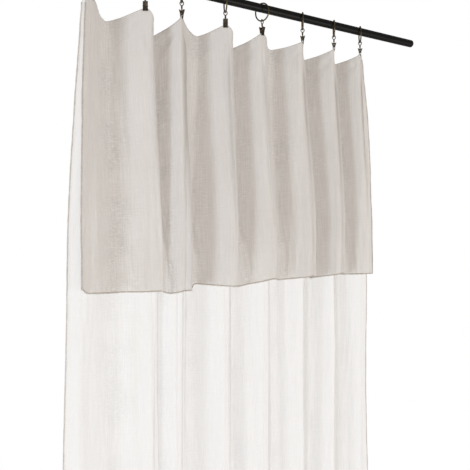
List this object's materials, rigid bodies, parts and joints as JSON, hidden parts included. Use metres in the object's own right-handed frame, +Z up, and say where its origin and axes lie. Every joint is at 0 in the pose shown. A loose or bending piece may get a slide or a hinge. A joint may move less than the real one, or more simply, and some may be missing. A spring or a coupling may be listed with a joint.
{
  "type": "clip-ring curtain",
  "caption": "Curtain of two gauze layers, a short flap over a long sheer panel, gripped by spring clips that hang from metal rings on a straight round rod.",
  "frame": {"origin": "on the rod's axis, at the middle of its length", "axes": "+X along the rod to the viewer's right, +Z up, -Y towards the room (the flap's side)"},
  "size_m": [1.272, 0.0732, 2.5276],
  "materials": {
    "rod_finish": "satin black coating on a round steel tube",
    "cap_finish": "plain black moulded plug",
    "ring_metal": "antique bronze, dark with brighter worn edges",
    "link_metal": "antique bronze wire",
    "clip_metal": "dark antique bronze sheet",
    "pin_metal": "dark antique bronze, rubbed on the heads",
    "spring_steel": "darkened spring wire",
    "flap_gauze": "greige open linen-look gauze, crinkled, with slubs",
    "panel_gauze": "white sheer crinkled gauze with rolled side hems"
  },
  "bodies": {
    "rod": {"rod_tube": "rod_finish", "rod_cap_left": "cap_finish", "rod_cap_right": "cap_finish"},
    "curtain": {"front_flap": "flap_gauze", "long_panel": "panel_gauze", "link_1": "link_metal", "clip_back_1": "clip_metal", "clip_pin_1": "pin_metal", "clip_spring_1": "spring_steel"},
    "hanger_2": {"link_2": "link_metal", "clip_back_2": "clip_metal", "clip_pin_2": "pin_metal", "clip_spring_2": "spring_steel"},
    "hanger_3": {"link_3": "link_metal", "clip_back_3": "clip_metal", "clip_pin_3": "pin_metal", "clip_spring_3": "spring_steel"},
    "hanger_4": {"link_4": "link_metal", "clip_back_4": "clip_metal", "clip_pin_4": "pin_metal", "clip_spring_4": "spring_steel"},
    "hanger_5": {"link_5": "link_metal", "clip_back_5": "clip_metal", "clip_pin_5": "pin_metal", "clip_spring_5": "spring_steel"},
    "hanger_6": {"link_6": "link_metal", "clip_back_6": "clip_metal", "clip_pin_6": "pin_metal", "clip_spring_6": "spring_steel"},
    "hanger_7": {"link_7": "link_metal", "clip_back_7": "clip_metal", "clip_pin_7": "pin_metal", "clip_spring_7": "spring_steel"},
    "hanger_8": {"link_8": "link_metal", "clip_back_8": "clip_metal", "clip_pin_8": "pin_metal", "clip_spring_8": "spring_steel"},
    "ring_body_1": {"ring_1": "ring_metal"},
    "jaw_1": {"clip_front_1": "clip_metal"},
    "ring_body_2": {"ring_2": "ring_metal"},
    "jaw_2": {"clip_front_2": "clip_metal"},
    "ring_body_3": {"ring_3": "ring_metal"},
    "jaw_3": {"clip_front_3": "clip_metal"},
    "ring_body_4": {"ring_4": "ring_metal"},
    "jaw_4": {"clip_front_4": "clip_metal"},
    "ring_body_5": {"ring_5": "ring_metal"},
    "jaw_5": {"clip_front_5": "clip_metal"},
    "ring_body_6": {"ring_6": "ring_metal"},
    "jaw_6": {"clip_front_6": "clip_metal"},
    "ring_body_7": {"ring_7": "ring_metal"},
    "jaw_7": {"clip_front_7": "clip_metal"},
    "ring_body_8": {"ring_8": "ring_metal"},
    "jaw_8": {"clip_front_8": "clip_metal"}
  },
  "joints": [
    {"name": "curtain_slide", "type": "slide", "parent": "rod", "child": "curtain", "axis": [1, 0, 0], "range_m": [-0.13, 0.15]},
    {"name": "follow_2", "type": "slide", "parent": "curtain", "child": "hanger_2", "axis": [1, 0, 0], "range_m": [-0.0853, 0]},
    {"name": "follow_3", "type": "slide", "parent": "curtain", "child": "hanger_3", "axis": [1, 0, 0], "range_m": [-0.149, 0]},
    {"name": "follow_4", "type": "slide", "parent": "curtain", "child": "hanger_4", "axis": [1, 0, 0], "range_m": [-0.2315, 0]},
    {"name": "follow_5", "type": "slide", "parent": "curtain", "child": "hanger_5", "axis": [1, 0, 0], "range_m": [-0.3069, 0]},
    {"name": "follow_6", "type": "slide", "parent": "curtain", "child": "hanger_6", "axis": [1, 0, 0], "range_m": [-0.3973, 0]},
    {"name": "follow_7", "type": "slide", "parent": "curtain", "child": "hanger_7", "axis": [1, 0, 0], "range_m": [-0.4733, 0]},
    {"name": "draw", "type": "slide", "parent": "curtain", "child": "hanger_8", "axis": [1, 0, 0], "range_m": [-0.5408, 0], "deforming": ["front_flap", "long_panel"]},
    {"name": "ring_turn_1", "type": "hinge", "parent": "curtain", "child": "ring_body_1", "pos_m": [-0.418, 0, -0.02745], "axis": [0, 0, 1], "range_deg": [-20, 35]},
    {"name": "ring_turn_2", "type": "hinge", "parent": "hanger_2", "child": "ring_body_2", "pos_m": [-0.287, 0, -0.0267], "axis": [0, 0, 1], "range_deg": [-14, 35]},
    {"name": "ring_turn_3", "type": "hinge", "parent": "hanger_3", "child": "ring_body_3", "pos_m": [-0.189, 0, -0.0267], "axis": [0, 0, 1], "range_deg": [-10, 35]},
    {"name": "ring_turn_4", "type": "hinge", "parent": "hanger_4", "child": "ring_body_4", "pos_m": [-0.062, 0, -0.0267], "axis": [0, 0, 1], "range_deg": [-11, 35]},
    {"name": "ring_turn_5", "type": "hinge", "parent": "hanger_5", "child": "ring_body_5", "pos_m": [0.054, 0, -0.02745], "axis": [0, 0, 1], "range_deg": [-35, 35]},
    {"name": "ring_turn_6", "type": "hinge", "parent": "hanger_6", "child": "ring_body_6", "pos_m": [0.193, 0, -0.0267], "axis": [0, 0, 1], "range_deg": [-2, 35]},
    {"name": "ring_turn_7", "type": "hinge", "parent": "hanger_7", "child": "ring_body_7", "pos_m": [0.31, 0, -0.0267], "axis": [0, 0, 1], "range_deg": [-1, 35]},
    {"name": "ring_turn_8", "type": "hinge", "parent": "hanger_8", "child": "ring_body_8", "pos_m": [0.414, 0, -0.0267], "axis": [0, 0, 1], "range_deg": [-2, 35]},
    {"name": "jaw_open_1", "type": "hinge", "parent": "curtain", "child": "jaw_1", "pos_m": [-0.418, 0, -0.0495], "axis": [-0.8988, -0.4384, 0], "range_deg": [0, 20], "stiffness_Nm_per_rad": 0.02, "springref_deg": -28.65, "deforming": ["clip_spring_1"]},
    {"name": "jaw_open_2", "type": "hinge", "parent": "hanger_2", "child": "jaw_2", "pos_m": [-0.287, 0, -0.0495], "axis": [-0.766, 0.6428, 0], "range_deg": [0, 20], "stiffness_Nm_per_rad": 0.02, "springref_deg": -28.65, "deforming": ["clip_spring_2"]},
    {"name": "jaw_open_3", "type": "hinge", "parent": "hanger_3", "child": "jaw_3", "pos_m": [-0.189, 0, -0.0495], "axis": [-0.809, -0.5878, 0], "range_deg": [0, 20], "stiffness_Nm_per_rad": 0.02, "springref_deg": -28.65, "deforming": ["clip_spring_3"]},
    {"name": "jaw_open_4", "type": "hinge", "parent": "hanger_4", "child": "jaw_4", "pos_m": [-0.062, 0, -0.0495], "axis": [-0.7431, 0.6691, 0], "range_deg": [0, 20], "stiffness_Nm_per_rad": 0.02, "springref_deg": -28.65, "deforming": ["clip_spring_4"]},
    {"name": "jaw_open_5", "type": "hinge", "parent": "hanger_5", "child": "jaw_5", "pos_m": [0.054, 0, -0.0495], "axis": [-0.9945, -0.1045, 0], "range_deg": [0, 20], "stiffness_Nm_per_rad": 0.02, "springref_deg": -28.65, "deforming": ["clip_spring_5"]},
    {"name": "jaw_open_6", "type": "hinge", "parent": "hanger_6", "child": "jaw_6", "pos_m": [0.193, 0, -0.0495], "axis": [-0.829, -0.5592, 0], "range_deg": [0, 20], "stiffness_Nm_per_rad": 0.02, "springref_deg": -28.65, "deforming": ["clip_spring_6"]},
    {"name": "jaw_open_7", "type": "hinge", "parent": "hanger_7", "child": "jaw_7", "pos_m": [0.31, 0, -0.0495], "axis": [-0.809, -0.5878, 0], "range_deg": [0, 20], "stiffness_Nm_per_rad": 0.02, "springref_deg": -28.65, "deforming": ["clip_spring_7"]},
    {"name": "jaw_open_8", "type": "hinge", "parent": "hanger_8", "child": "jaw_8", "pos_m": [0.414, 0, -0.0495], "axis": [-0.829, -0.5592, 0], "range_deg": [0, 20], "stiffness_Nm_per_rad": 0.02, "springref_deg": -28.65, "deforming": ["clip_spring_8"]}
  ],
  "couplings": [
    {"joint": "follow_2", "follows": "draw", "ratio": 0.15745},
    {"joint": "follow_3", "follows": "draw", "ratio": 0.27524},
    {"joint": "follow_4", "follows": "draw", "ratio": 0.42788},
    {"joint": "follow_5", "follows": "draw", "ratio": 0.56731},
    {"joint": "follow_6", "follows": "draw", "ratio": 0.73438},
    {"joint": "follow_7", "follows": "draw", "ratio": 0.875}
  ]
}
